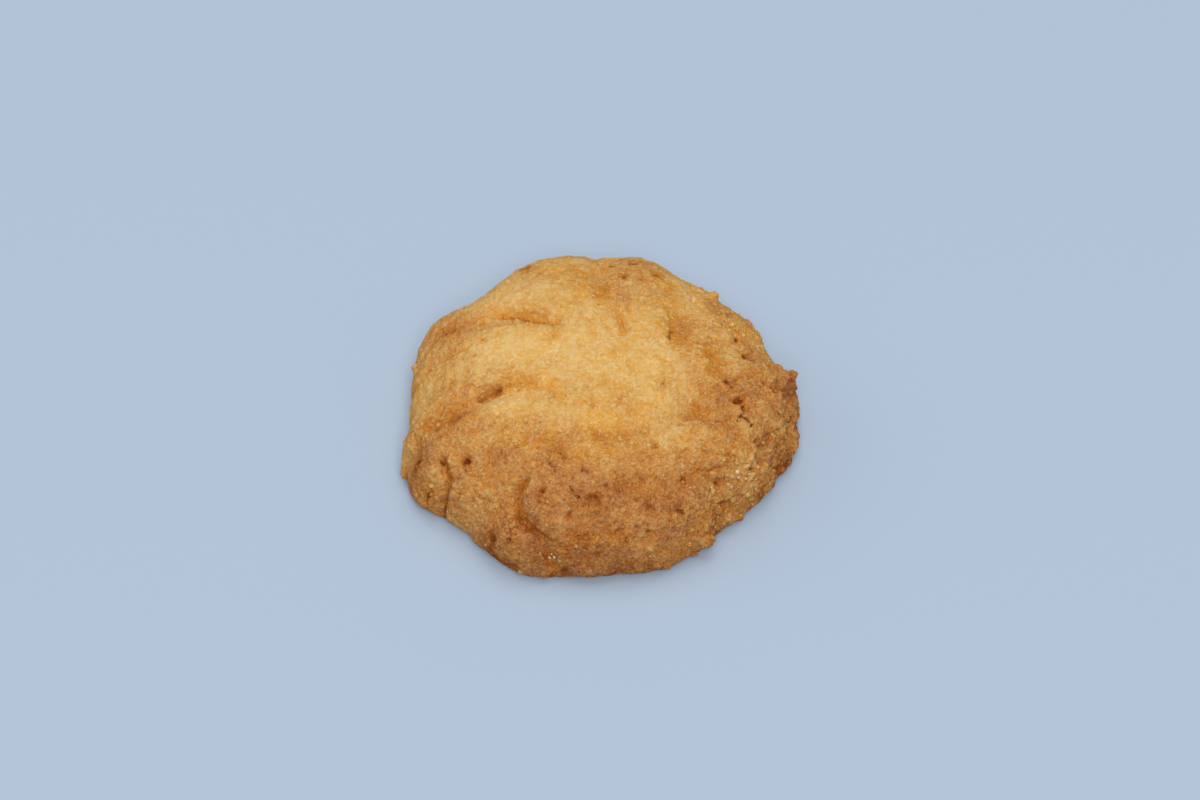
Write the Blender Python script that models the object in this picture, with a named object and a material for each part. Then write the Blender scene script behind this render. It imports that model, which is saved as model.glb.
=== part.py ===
"""A piped shortbread biscuit: one solid, a low dome whose swirled folds have spread and set.

The biscuit stands on its flat base at z = 0, with its origin at the middle of the base.
"""

import math

import bmesh
import bpy
from mathutils import Vector, noise

MM = 0.001

# The dome, in millimetres
WAIST_RADIUS = 26.9
CROWN_HEIGHT = 15.9
WAIST_HEIGHT = 1.6
FOOT_INSET = 0.9
SHOULDER = 2.4

# Lobes of the outline: bearing in degrees from +X, reach in millimetres, half width in degrees
LOBES = (
    (4, 1.6, 4),
    (30, 0.7, 9),
    (50, 0.5, 5),
    (77, 1.7, 10),
    (90, 0.3, 50),
    (108, 2.3, 17),
    (153, 2.5, 11),
    (171, 1.7, 10),
    (192, 0.4, 8),
    (198, 0.6, 4),
    (207, 4.2, 15),
    (248, 3.8, 19),
    (269, 0.4, 6),
    (270, -0.7, 60),
    (286, 2.2, 18),
    (303, 0.5, 3),
    (326, 0.8, 8),
    (351, 2.7, 18),
)

# Folds between the piped strands, in millimetres: from the rim (x, y), to (x, y), sideways bow,
# half width, depth, and the height of the lip of the strand on the fold's left
FOLDS = (
    ((-25.0, 9.4), (-6.0, 6.8), 1.5, 1.4, 1.1, 0.6),
    ((-28.0, -10.8), (-5.4, -6.6), 3.2, 1.4, 1.3, 0.7),
    ((-28.0, 4.8), (-18.0, 3.4), 0.0, 1.3, 0.5, 0.2),
    ((-22.6, -17.6), (-20.6, -12.4), -1.0, 1.2, 0.8, 0.2),
    ((-5.4, -28.6), (-10.2, -18.8), 2.8, 1.4, 0.9, 0.2),
    ((-1.6, 25.0), (3.2, 1.2), -0.4, 1.3, 0.7, 0.1),
    ((15.4, 19.0), (10.4, 3.4), 0.4, 1.7, 0.5, 0.1),
    ((28.4, 0.6), (17.6, -3.2), 0.6, 1.2, 0.5, 0.2),
    ((28.4, -9.6), (13.8, -9.4), 1.2, 1.2, 0.5, 0.2),
    ((21.6, -18.0), (6.8, -22.6), -1.2, 1.6, 0.5, 0.2),
)
FOLD_STEPS = 14
FOLD_START = 0.12  # how far into its rise a fold already is where it leaves the rim
FOLD_FULLNESS = 0.6  # below 1, a fold keeps its depth for longer before it fades out
LIP_REACH = 2.6

# Swells of the baked surface, in millimetres: height and length
SWELLS = ((0.40, 7.5), (0.16, 3.2))

# The front edge lifts off the tray here: bearing and half width in degrees, height in millimetres
LIFT_BEARING = 268
LIFT_WIDTH = 7
LIFT_HEIGHT = 1.0
LIFT_TOP = 6.4

GRID_CELLS = 64
DOME_STEPS = 240
FOOT_STEPS = 60

DOUGH_COLOUR = (0.52, 0.29, 0.10, 1.0)
DOUGH_ROUGHNESS = 0.8


def clear_scene():
    for thing in list(bpy.data.objects):
        bpy.data.objects.remove(thing, do_unlink=True)


def bell(offset, half_width):
    return math.exp(-((offset / half_width) ** 2))


def turn_between(bearing, other):
    """The signed turn in degrees from one bearing to another."""
    return (bearing - other + 180.0) % 360.0 - 180.0


def outline_radius(bearing):
    reach = sum(lobe * bell(turn_between(bearing, middle), width) for middle, lobe, width in LOBES)
    return WAIST_RADIUS + reach


def dome_profile():
    """The dome's section from its crown over the waist to its foot, as (radius share, height)."""
    section = []
    for step in range(DOME_STEPS + 1):
        lean = math.radians(90.0 * step / DOME_STEPS)
        share = math.sin(lean) ** (2.0 / SHOULDER)
        rise = math.cos(lean) ** (2.0 / SHOULDER)
        section.append((share, WAIST_HEIGHT + (CROWN_HEIGHT - WAIST_HEIGHT) * rise))
    foot_share = FOOT_INSET / WAIST_RADIUS
    for step in range(1, FOOT_STEPS + 1):
        lean = math.radians(90.0 * step / FOOT_STEPS)
        section.append((1.0 - foot_share * (1.0 - math.cos(lean)), WAIST_HEIGHT * (1.0 - math.sin(lean))))
    return section


def section_lengths(section):
    lengths = [0.0]
    for (share, height), (next_share, next_height) in zip(section, section[1:]):
        run = (next_share - share) * WAIST_RADIUS
        lengths.append(lengths[-1] + math.hypot(run, next_height - height))
    return lengths


def point_on_section(section, lengths, part):
    """The section's (radius share, height) at this part of its length."""
    wanted = part * lengths[-1]
    after = next((i for i, length in enumerate(lengths) if length >= wanted), len(lengths) - 1)
    before = max(after - 1, 0)
    span = lengths[after] - lengths[before]
    blend = (wanted - lengths[before]) / span if span > 0.0 else 0.0
    share = section[before][0] + blend * (section[after][0] - section[before][0])
    height = section[before][1] + blend * (section[after][1] - section[before][1])
    return share, height


def round_from_square(x, y):
    """A square of half side 1 drawn out to a disc: the place's share of the radius and its bearing."""
    if abs(x) >= abs(y):
        share = abs(x)
        bearing = 45.0 * y / x if x else 0.0
        bearing += 180.0 if x < 0.0 else 0.0
    else:
        share = abs(y)
        bearing = 90.0 - 45.0 * x / y
        bearing += 180.0 if y < 0.0 else 0.0
    return share, bearing % 360.0


def fold_path(start, end, bow):
    """Points along a fold: a straight run with a sideways bow."""
    first = Vector(start)
    run = Vector(end) - first
    sideways = Vector((-run.y, run.x)).normalized()
    path = []
    for step in range(FOLD_STEPS + 1):
        part = step / FOLD_STEPS
        path.append(first + run * part + sideways * (bow * 4.0 * part * (1.0 - part)))
    return path


def place_by_path(path, place):
    """The signed distance from a path, positive on its left, and the part of the way along it."""
    nearest = (math.inf, 0.0, 0.0)
    for index, (first, second) in enumerate(zip(path, path[1:])):
        run = second - first
        along = max(0.0, min(1.0, (place - first).dot(run) / run.length_squared))
        apart = place - (first + run * along)
        side = run.x * apart.y - run.y * apart.x
        if apart.length < nearest[0]:
            nearest = (apart.length, math.copysign(apart.length, side), (index + along) / FOLD_STEPS)
    return nearest[1], nearest[2]


def fold_relief(place, path, half_width, depth, lip):
    """The height that a fold gives the surface here: a valley, and a lip on its left."""
    distance, along = place_by_path(path, place)
    fade = math.sin(math.pi * min(1.0, FOLD_START + (1.0 - FOLD_START) * along)) ** FOLD_FULLNESS
    valley = -depth * bell(distance, half_width)
    rise = max(distance, 0.0) / LIP_REACH
    return fade * (valley + lip * rise * math.exp(1.0 - rise))


def swell(place):
    return sum(height * noise.noise(place / length) for height, length in SWELLS)


def foot_lift(bearing, height):
    """How far the underside of the edge is raised where it clears the tray."""
    under = max(0.0, 1.0 - height / LIFT_TOP)
    return LIFT_HEIGHT * under * bell(turn_between(bearing, LIFT_BEARING), LIFT_WIDTH)


def shape_dome(mesh):
    """Moves a flat square grid onto the dome, with its lobes, folds and swells."""
    section = dome_profile()
    lengths = section_lengths(section)
    for vertex in mesh.verts:
        share, bearing = round_from_square(vertex.co.x, vertex.co.y)
        width_share, height = point_on_section(section, lengths, share)
        radius = outline_radius(bearing) * width_share
        angle = math.radians(bearing)
        vertex.co = Vector((radius * math.cos(angle), radius * math.sin(angle), height))


def press_folds(mesh):
    paths = [(fold_path(*fold[:3]), fold[3:]) for fold in FOLDS]
    mesh.normal_update()
    moves = []
    for vertex in mesh.verts:
        place = vertex.co.xy
        relief = sum(fold_relief(place, path, *sizes) for path, sizes in paths)
        height = vertex.co.z
        hold = min(1.0, height / WAIST_HEIGHT)
        moves.append(vertex.normal * ((relief + swell(vertex.co)) * hold))
    for vertex, move in zip(mesh.verts, moves):
        vertex.co += move


def lift_front_edge(mesh):
    for vertex in mesh.verts:
        if vertex.is_boundary:
            continue
        bearing = math.degrees(math.atan2(vertex.co.y, vertex.co.x))
        vertex.co.z += foot_lift(bearing, vertex.co.z)


def close_base(mesh):
    rim = [edge for edge in mesh.edges if edge.is_boundary]
    for vertex in {vertex for edge in rim for vertex in edge.verts}:
        vertex.co.z = 0.0
    bmesh.ops.contextual_create(mesh, geom=rim)


def dough_material():
    material = bpy.data.materials.new("baked_dough")
    material.use_nodes = True
    shader = material.node_tree.nodes["Principled BSDF"]
    shader.inputs["Base Color"].default_value = DOUGH_COLOUR
    shader.inputs["Roughness"].default_value = DOUGH_ROUGHNESS
    shader.inputs["Metallic"].default_value = 0.0
    return material


def build_biscuit(collection):
    mesh = bmesh.new()
    bmesh.ops.create_grid(mesh, x_segments=GRID_CELLS, y_segments=GRID_CELLS, size=1.0)
    shape_dome(mesh)
    press_folds(mesh)
    lift_front_edge(mesh)
    close_base(mesh)
    bmesh.ops.scale(mesh, vec=(MM, MM, MM), verts=mesh.verts)
    bmesh.ops.recalc_face_normals(mesh, faces=mesh.faces)
    data = bpy.data.meshes.new("biscuit")
    mesh.to_mesh(data)
    mesh.free()
    data.materials.append(dough_material())
    data.shade_smooth()
    biscuit = bpy.data.objects.new("biscuit", data)
    collection.objects.link(biscuit)
    return biscuit


def main():
    clear_scene()
    collection = bpy.data.collections.new("shortbread_biscuit")
    bpy.context.scene.collection.children.link(collection)
    build_biscuit(collection)


main()
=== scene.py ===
import math
import random

import bmesh
import bpy
import numpy as np
from mathutils import Matrix, Vector, noise
from mathutils.bvhtree import BVHTree
from mathutils.kdtree import KDTree


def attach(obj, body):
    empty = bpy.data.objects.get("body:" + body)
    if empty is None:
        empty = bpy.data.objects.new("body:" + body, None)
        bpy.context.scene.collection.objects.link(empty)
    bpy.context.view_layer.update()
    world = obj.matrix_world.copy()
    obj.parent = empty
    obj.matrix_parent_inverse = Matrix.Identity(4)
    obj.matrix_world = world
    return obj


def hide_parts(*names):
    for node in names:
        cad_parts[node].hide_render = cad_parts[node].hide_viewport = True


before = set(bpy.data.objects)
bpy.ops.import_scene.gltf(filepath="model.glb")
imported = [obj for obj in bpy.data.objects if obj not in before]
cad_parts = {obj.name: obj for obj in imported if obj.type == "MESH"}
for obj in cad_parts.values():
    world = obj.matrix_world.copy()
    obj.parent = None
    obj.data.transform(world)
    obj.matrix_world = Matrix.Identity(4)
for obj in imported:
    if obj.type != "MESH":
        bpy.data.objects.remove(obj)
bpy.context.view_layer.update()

BISCUIT = "biscuit"
MM = 0.001

# ---------------------------------------------------------------- sizes, in millimetres

SKIN_VOXEL = 0.27
BASE_THINNING = 4  # rounds of thinning of the flat underside's mesh

# Places on the biscuit are (x, y) in millimetres from the middle of its base.

# Crisp lines of the folds, on top of the solid's own: points, how wide the drop is on the line's
# right and on its left, depth (filled up where negative), and how golden the shade on the left is
FOLD_LINES = (
    (((-14.8, 10.1), (-12.8, 9.6), (-10.6, 8.8), (-8.8, 8.1), (-7.0, 7.4)), 0.26, 1.60, 1.15, 0.90),
    (((-25.0, 8.8), (-21.5, 9.6), (-17.5, 10.2)), 1.30, 1.30, -0.30, 0.15),
    (((-17.5, -5.55), (-16.2, -5.15), (-14.8, -4.8)), 0.30, 0.62, 1.25, 1.00),
    (((-26.0, -9.2), (-23.0, -7.3), (-20.8, -6.4), (-18.9, -5.8)), 1.10, 1.10, -0.50, 0.55),
    (((-14.4, -4.7), (-11.5, -4.3), (-8.6, -4.8), (-6.7, -6.0), (-5.7, -7.5)), 0.40, 1.60, 0.50, 0.70),
    (((-27.2, 1.8), (-24.6, 3.1), (-22.4, 3.7), (-19.3, 4.4)), 0.26, 0.80, 0.62, 0.60),
    (((-22.9, -18.6), (-22.2, -17.7), (-21.5, -16.2), (-21.9, -15.2), (-22.5, -14.1)), 0.24, 0.70, 1.00, 1.00),
    (((-6.2, -28.4), (-7.4, -27.2), (-8.7, -26.0), (-11.0, -24.0)), 0.42, 0.60, 0.75, 0.80),
    (((-11.0, -24.0), (-11.6, -21.6), (-10.6, -19.4)), 0.50, 0.80, 1.10, 1.00),
    (((2.2, 9.9), (2.9, 8.2), (3.0, 6.6)), 0.45, 0.60, 0.25, 0.50),
    (((2.9, 8.0), (3.1, 7.0), (3.4, 5.6)), 0.60, 0.85, 0.95, 0.80),
    (((3.4, 5.0), (3.3, 2.0)), 0.40, 0.50, 0.18, 0.30),
    (((10.4, 9.0), (10.8, 6.8), (10.1, 5.3), (10.3, 4.1)), 0.28, 1.70, 0.42, 0.75),
    (((0.2, 16.0), (-0.7, 20.0), (-1.0, 25.2)), 0.80, 0.80, 0.40, 0.30),
)
TORN_EDGE = 1.6  # crumbs on each millimetre of a golden fold's right edge
FOLD_BOTTOM = 0.34  # half width of the painted shade along the dark line of a fold

# Lumps that stand out from the dome and its rim: the surface's place (x, y, z) nearest to them,
# half size in x, y and z, and how far they stand out
LUMPS = (
    ((26.0, 4.2, 9.6), (2.4, 1.6, 1.2), 1.3),
    ((27.8, 3.0, 8.2), (1.8, 1.1, 1.1), 1.7),
    ((28.3, 2.5, 6.8), (1.5, 1.2, 1.3), 1.0),
    ((28.6, -3.0, 6.0), (1.0, 1.2, 1.5), 0.2),
    ((28.4, -5.4, 4.6), (1.0, 1.2, 1.5), 0.2),
    ((28.2, -8.6, 3.2), (1.3, 1.4, 1.6), 0.5),
    ((26.6, -12.6, 2.6), (1.2, 1.3, 1.5), 0.5),
    ((14.8, -24.0, 2.7), (2.1, 1.2, 1.4), 0.8),
    ((19.8, -20.6, 2.6), (1.9, 1.5, 1.4), 0.6),
    ((8.0, -27.6, 2.6), (2.2, 1.2, 1.4), 0.4),
    ((-29.0, -11.0, 3.6), (1.1, 1.8, 1.6), 0.3),
    ((-13.4, 22.6, 8.2), (2.0, 1.1, 1.2), 0.2),
    ((-24.0, 11.9, 8.4), (1.2, 1.1, 1.2), 0.3),
    ((21.8, 12.6, 8.2), (1.4, 1.2, 1.2), 0.5),
    ((16.5, 17.7, 8.9), (1.9, 1.0, 0.75), 1.15),
    ((20.0, -18.0, 1.4), (1.8, 1.6, 1.3), 0.8),
    ((13.3, -24.4, 1.2), (2.0, 1.3, 1.2), 0.7),
    ((9.4, -26.6, 1.3), (2.0, 1.2, 1.2), 0.5),
    ((-28.9, -9.8, 2.4), (1.1, 1.6, 1.3), 0.6),
    ((-6.9, -28.4, 1.5), (2.2, 1.2, 1.2), 0.5),
    ((-17.0, -22.8, 1.0), (2.4, 2.0, 1.2), 0.6),
    ((28.4, -6.8, 1.0), (1.4, 2.4, 1.2), 0.4),
    ((18.4, -19.2, 0.9), (2.4, 2.2, 1.2), 0.4),
)

# Dents in the rim: place (x, y, z), radius, depth
DENTS = (
    ((28.4, 0.0, 6.4), 1.3, 1.2),
    ((27.6, -0.6, 5.4), 1.2, 0.5),
    ((28.4, -6.9, 4.2), 0.9, 0.4),
    ((-1.0, 26.0, 6.5), 1.4, 0.7),
    ((23.4, 9.6, 7.6), 2.4, 0.4),
    ((28.5, -0.9, 6.8), 1.4, 0.8),
    ((28.8, -5.4, 5.2), 1.8, 2.2),
    ((26.6, -13.0, 3.0), 1.4, 0.5),
    ((-18.6, 17.4, 9.0), 2.4, 0.6),
    ((-20.4, 14.0, 10.8), 2.0, 0.3),
    ((-7.4, 25.1, 9.6), 2.2, 0.4),
    ((-28.5, -9.6, 5.0), 1.4, 0.4),
    ((-24.4, -16.4, 0.8), 1.4, 0.5),
    ((6.1, 27.3, 6.9), 1.2, 0.3),
)

# Cracks: points, half width, depth
CRACKS = (
    (((20.0, -8.6), (20.4, -8.0), (21.0, -7.9), (21.6, -8.2), (22.0, -8.7)), 0.28, 0.85),
    (((17.6, -9.0), (18.6, -8.9), (20.0, -8.7)), 0.30, 0.28),
    (((22.0, -8.7), (22.4, -9.4), (22.7, -10.2)), 0.28, 0.30),
    (((9.4, -3.8), (9.0, -4.7), (8.2, -5.4)), 0.42, 0.30),
    (((10.2, 4.3), (10.2, 5.4), (10.7, 6.6)), 0.26, 0.42),
    (((-7.4, -17.3), (-6.7, -17.8), (-6.2, -18.8)), 0.24, 0.45),
    (((-4.6, -19.2), (-3.7, -19.8)), 0.22, 0.30),
    (((-4.1, -21.1), (-3.5, -21.9), (-2.8, -22.6)), 0.28, 0.60),
    (((0.4, -20.1), (1.3, -21.8)), 0.22, 0.28),
    (((-1.5, -22.2), (0.1, -22.6)), 0.30, 0.35),
    (((-18.1, -12.5), (-17.1, -13.9)), 0.22, 0.35),
    (((-14.6, -14.0), (-13.7, -15.4)), 0.24, 0.40),
    (((18.1, -18.7), (19.3, -18.0), (20.0, -17.3)), 0.28, 0.35),
    (((19.9, -19.1), (20.8, -18.7), (21.9, -18.2)), 0.34, 0.60),
    (((18.1, 13.3), (18.8, 12.7), (19.7, 12.8)), 0.30, 0.50),
    (((26.6, -2.4), (27.2, -3.6), (27.7, -4.4)), 0.26, 0.45),
    (((26.3, -3.4), (27.0, -4.7), (27.4, -5.8)), 0.24, 0.40),
    (((14.2, -4.6), (14.0, -5.6), (13.3, -6.9)), 0.30, 0.15),
    (((14.4, 18.7), (14.9, 17.4), (15.8, 16.6)), 0.28, 0.30),
    (((-1.8, -11.5), (-1.0, -12.4), (0.0, -13.4)), 0.24, 0.18),
    (((1.0, -16.0), (2.0, -15.0), (5.0, -12.6), (6.5, -11.8)), 0.26, 0.12),
)

# Pits: x, y, half length, half width, turn in degrees, depth
PITS = (
    (20.4, -5.5, 0.50, 0.40, -20, 0.65),
    (20.8, -6.5, 0.40, 0.40, 60, 0.70),
    (19.7, -5.8, 0.22, 0.22, 0, 0.90),
    (19.2, -6.0, 0.45, 0.15, -20, 0.35),
    (17.7, -5.3, 0.45, 0.15, 20, 0.30),
    (18.5, -2.4, 0.45, 0.35, -50, 0.60),
    (19.1, -3.1, 0.28, 0.22, 0, 0.55),
    (21.3, 3.6, 0.75, 0.45, 80, 0.75),
    (22.4, 2.9, 0.35, 0.35, 0, 0.65),
    (25.5, -0.9, 0.36, 0.34, 0, 0.70),
    (24.2, -0.6, 0.25, 0.18, 0, 0.40),
    (26.6, -10.0, 0.75, 0.60, 60, 0.70),
    (27.6, -8.3, 0.30, 0.30, 0, 0.60),
    (22.8, -10.5, 0.45, 0.18, 0, 0.45),
    (22.6, -12.7, 0.34, 0.30, 60, 0.50),
    (21.8, -14.6, 0.36, 0.14, -15, 0.50),
    (16.6, -12.9, 0.50, 0.30, -20, 0.25),
    (16.9, -16.0, 0.50, 0.25, -20, 0.30),
    (16.9, -17.4, 0.65, 0.34, 10, 0.50),
    (17.7, -18.9, 0.45, 0.35, 40, 0.50),
    (20.5, -18.9, 0.60, 0.30, 10, 0.75),
    (19.1, -19.8, 0.40, 0.28, 20, 0.40),
    (23.7, -14.7, 0.40, 0.30, 90, 0.50),
    (12.0, -18.5, 0.50, 0.28, -20, 0.40),
    (11.6, -22.8, 0.45, 0.40, -30, 0.45),
    (11.6, -25.4, 0.26, 0.24, 0, 0.50),
    (16.6, -20.9, 0.36, 0.26, 0, 0.40),
    (16.3, -22.9, 0.40, 0.30, 0, 0.40),
    (8.0, -14.7, 0.45, 0.35, -10, 0.45),
    (12.5, -9.5, 0.60, 0.25, -10, 0.28),
    (6.7, -23.3, 0.80, 0.45, -10, 0.30),
    (6.8, -25.5, 0.32, 0.28, 0, 0.45),
    (5.1, -25.4, 0.26, 0.24, 0, 0.40),
    (-0.3, -27.4, 0.32, 0.26, 0, 0.45),
    (-5.1, -28.2, 0.50, 0.45, 0, 0.40),
    (-8.2, -21.2, 0.45, 0.30, 90, 0.50),
    (-8.3, -22.8, 0.70, 0.30, 90, 0.20),
    (-4.4, -24.5, 0.36, 0.15, 90, 0.35),
    (-1.1, -8.5, 0.50, 0.35, 0, 0.28),
    (-5.2, -16.6, 0.45, 0.30, 0, 0.35),
    (-2.6, -18.5, 0.20, 0.20, 0, 0.45),
    (-1.9, -18.8, 0.60, 0.42, 90, 0.38),
    (-15.4, -25.0, 0.36, 0.30, 0, 0.50),
    (-12.9, -26.0, 0.36, 0.30, 0, 0.50),
    (-20.3, -18.7, 0.60, 0.18, 85, 0.40),
    (-24.8, -16.6, 0.52, 0.45, 30, 0.65),
    (-26.4, -12.5, 0.50, 0.45, 0, 0.70),
    (-19.1, -14.8, 0.58, 0.45, 20, 0.75),
    (-22.7, -14.1, 0.40, 0.22, -40, 0.45),
    (-26.5, -10.3, 0.30, 0.24, 0, 0.20),
    (-21.8, 9.0, 0.60, 0.40, 15, 0.50),
    (-18.6, 2.3, 0.32, 0.26, 0, 0.50),
    (-24.9, 2.9, 0.60, 0.28, 15, 0.50),
    (-17.3, 5.2, 0.42, 0.20, 10, 0.45),
    (-22.0, -5.6, 0.42, 0.14, 0, 0.32),
    (-11.7, -4.6, 0.36, 0.26, 0, 0.35),
    (-11.3, 22.6, 0.60, 0.40, 0, 0.75),
    (-7.1, 12.2, 0.60, 0.22, -10, 0.25),
    (1.7, 21.0, 0.46, 0.36, 90, 0.75),
    (5.0, 21.8, 0.46, 0.38, 0, 0.75),
    (8.6, 19.2, 0.58, 0.48, 0, 0.75),
    (3.5, 17.6, 0.55, 0.36, -40, 0.65),
    (6.4, 17.3, 0.50, 0.24, 0, 0.50),
    (16.7, 15.7, 0.50, 0.32, -10, 0.75),
    (20.3, 7.2, 0.42, 0.20, -70, 0.45),
    (18.8, 8.7, 0.42, 0.14, -20, 0.30),
    (16.8, 4.7, 0.42, 0.14, -10, 0.25),
    (-2.8, 2.4, 0.48, 0.36, 0, 0.18),
)

# Single pores: x, y
PORES = (
    (-11.8, 19.2), (-11.0, 17.5), (-10.7, 16.6), (-9.7, 14.6), (-22.0, 12.6), (-22.8, 11.3), (-21.3, 11.3),
    (-24.5, 10.6), (-25.5, 9.4), (-25.8, 7.4), (-25.2, 7.6), (-20.5, 9.3), (-20.8, 8.4), (-22.3, 9.5),
    (-22.3, 7.1), (-18.7, 12.2), (-16.0, 10.1), (-17.5, 9.2), (-15.9, 7.7), (-16.9, 4.7), (-20.5, 4.0),
    (-22.1, 3.9), (-23.7, 3.5), (-25.4, 3.9), (-22.0, 1.3), (-19.3, -0.7), (-21.5, -1.8), (-17.0, -2.3),
    (-13.6, -2.3), (-23.9, -2.9), (-24.4, -3.1), (-19.8, -6.3), (-20.7, -8.9), (-23.3, -7.7), (-24.3, -8.7),
    (-26.0, -9.4), (-19.1, -16.2), (-23.8, -15.6), (-17.1, -14.6), (-16.7, -15.3), (-16.2, -12.5),
    (-15.1, -15.9), (-11.8, -13.2), (-13.2, -11.5), (-13.6, -10.5), (-15.3, -10.6), (-12.0, -14.5),
    (-22.9, -11.0), (-26.0, -15.5), (-21.1, -18.9), (-19.6, -19.2), (-15.4, -16.4), (-17.7, -18.3),
    (-13.8, -20.5), (-14.6, -20.4), (-17.3, -22.3), (-16.5, -23.0), (-16.2, -25.9), (-13.2, -26.6),
    (-13.9, -27.2), (-11.5, -26.6), (-9.3, -24.2), (-5.3, -20.5), (-5.0, -26.5), (-9.6, -29.7),
    (6.7, 20.9), (9.7, 18.5), (4.9, 16.3), (1.0, 16.2), (0.5, 20.3), (1.2, 19.6), (0.0, 18.3), (-5.5, 19.7),
    (-5.3, 18.0), (-4.2, 20.3), (-4.0, 16.5), (-8.7, 16.3), (-6.1, 15.3), (-9.5, 14.0), (-6.3, 11.4),
    (-4.4, 10.8), (-4.0, 13.0), (-1.6, 13.1), (2.2, 9.7), (4.1, 10.4), (6.6, 12.5), (5.2, 12.3),
    (-2.4, 3.7), (-7.4, 3.0), (-1.5, 7.2), (-4.8, 7.4), (10.7, 7.0), (8.7, 2.8), (9.4, 2.7), (9.8, 2.9),
    (6.2, 1.4), (6.2, 2.6), (7.2, 8.6), (9.0, 8.6), (9.1, -1.4), (8.3, -5.5), (8.0, -3.0), (-1.2, -5.1),
    (-2.3, -6.0), (0.6, -6.7), (-4.2, -10.5), (-7.3, -11.2), (3.0, -11.5), (5.6, -11.1), (5.8, -12.3),
    (6.8, -12.1), (5.8, -12.9), (4.6, -13.5), (0.0, -13.4), (10.4, -9.7), (10.3, -10.9), (-6.6, -17.1),
    (2.8, -18.3), (10.7, -16.8), (11.4, -17.0), (3.1, -21.2), (-1.7, -23.1), (-2.1, -23.5), (2.7, -23.6),
    (5.1, -22.5), (7.4, -19.8), (6.9, -21.3), (9.8, -23.5), (10.5, -24.9), (-0.3, -25.7), (-3.0, -27.3),
    (14.3, 18.6), (19.9, 9.5), (20.8, 9.3), (12.5, 13.2), (15.2, 12.1), (14.2, 4.5), (14.8, 2.4), (11.6, 2.0),
    (18.4, -4.2), (22.9, -2.2), (22.1, -4.0), (22.6, -11.6), (17.4, -13.0), (13.9, -13.3), (18.6, -14.0),
    (19.5, -11.4), (13.1, -2.8), (12.9, -0.8), (12.8, -22.1), (12.4, -21.6), (10.5, -24.3), (13.5, -20.2),
    (14.8, -21.5), (23.8, -13.6), (22.0, -15.6), (20.8, -16.8),
)
PIT_HALO = 0.40  # how far the browning reaches round a pit
PORE = (0.24, 0.30)  # radius and depth of a single pore
LOOSE_PORES = 380  # more pores, anywhere
LOOSE_PORE_RADIUS = (0.16, 0.30)

# Relief of the crust: length of the lumps, height on the pale top, height on the rough rim
RELIEF = (
    (2.2, 0.20, 0.42),
    (1.0, 0.21, 0.32),
)
GRAIN_RELIEF = (0.50, 0.13, 0.16)
SKIN_SWELL = 0.02  # how far the crust stands out from the solid

# Jagged fissures between the plates of the rough side: size of the plates, depth
PLATES = (3.6, 0.42)

# Crumbs stuck to the crust: how many, radius in millimetres
STUCK_CRUMBS = 1100
CRUMB_RADIUS = (0.12, 0.36)
BIG_CRUMBS = 36
BIG_CRUMB_RADIUS = (0.40, 0.70)

# Pale crumbs of their own: x, y, radius
PALE_CRUMBS = (
    (22.0, -15.0, 0.50), (16.0, -16.4, 0.45), (10.5, -23.6, 0.50), (19.6, 9.6, 0.45), (21.3, 8.5, 0.45),
    (-0.6, -9.2, 0.36), (4.7, -17.7, 0.42), (-1.0, -20.5, 0.45), (7.1, -27.0, 0.50), (-5.5, -28.6, 0.40),
    (-12.4, -24.6, 0.45), (-15.9, -26.0, 0.45), (-8.2, 5.7, 0.40), (-7.3, 5.7, 0.36), (-23.4, -8.3, 0.40),
    (-25.9, -7.0, 0.40), (-1.9, 1.1, 0.50), (4.8, -3.0, 0.36), (12.9, -6.8, 0.36), (2.2, -7.4, 0.30),
)

# Sugar grains: x, y, half length in millimetres; then how many more, and their half length
SUGAR_GRAINS = (
    (19.7, -15.5, 0.26), (19.9, -15.9, 0.20), (21.2, -14.6, 0.13), (21.5, -15.1, 0.14), (22.2, -14.8, 0.16),
    (21.0, -15.9, 0.12), (-7.2, -27.1, 0.18), (-6.5, -27.3, 0.18), (-6.9, -26.9, 0.12),
)
LOOSE_GRAINS = 24
LOOSE_GRAIN_SIZE = (0.07, 0.12)

# Pale patches, where the dough took no colour: x, y, half length along x and y, strength
PALE_PATCHES = (
    (-1.0, 0.0, 10.5, 8.0, 1.0),
    (-12.0, 3.0, 9.0, 4.5, 0.9),
    (-11.5, -7.8, 6.5, 2.6, 0.85),
    (-12.0, 14.0, 8.0, 4.2, 0.70),
    (8.5, -3.0, 5.5, 9.0, 0.8),
    (7.0, 9.0, 3.2, 5.0, 0.5),
    (-3.0, 12.0, 3.4, 4.5, 0.5),
    (10.0, -12.0, 4.0, 2.6, 0.7),
    (-20.0, 0.5, 6.0, 2.6, 0.35),
    (0.0, -10.5, 8.0, 3.0, 0.55),
    (16.0, 8.0, 4.0, 5.0, 0.30),
    (13.0, 14.0, 2.4, 5.0, 0.40),
    (20.0, -12.5, 4.5, 4.5, 0.30),
    (-17.0, -13.0, 5.0, 2.2, 0.25),
    (-3.0, -16.5, 6.0, 2.4, 0.15),
)

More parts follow.
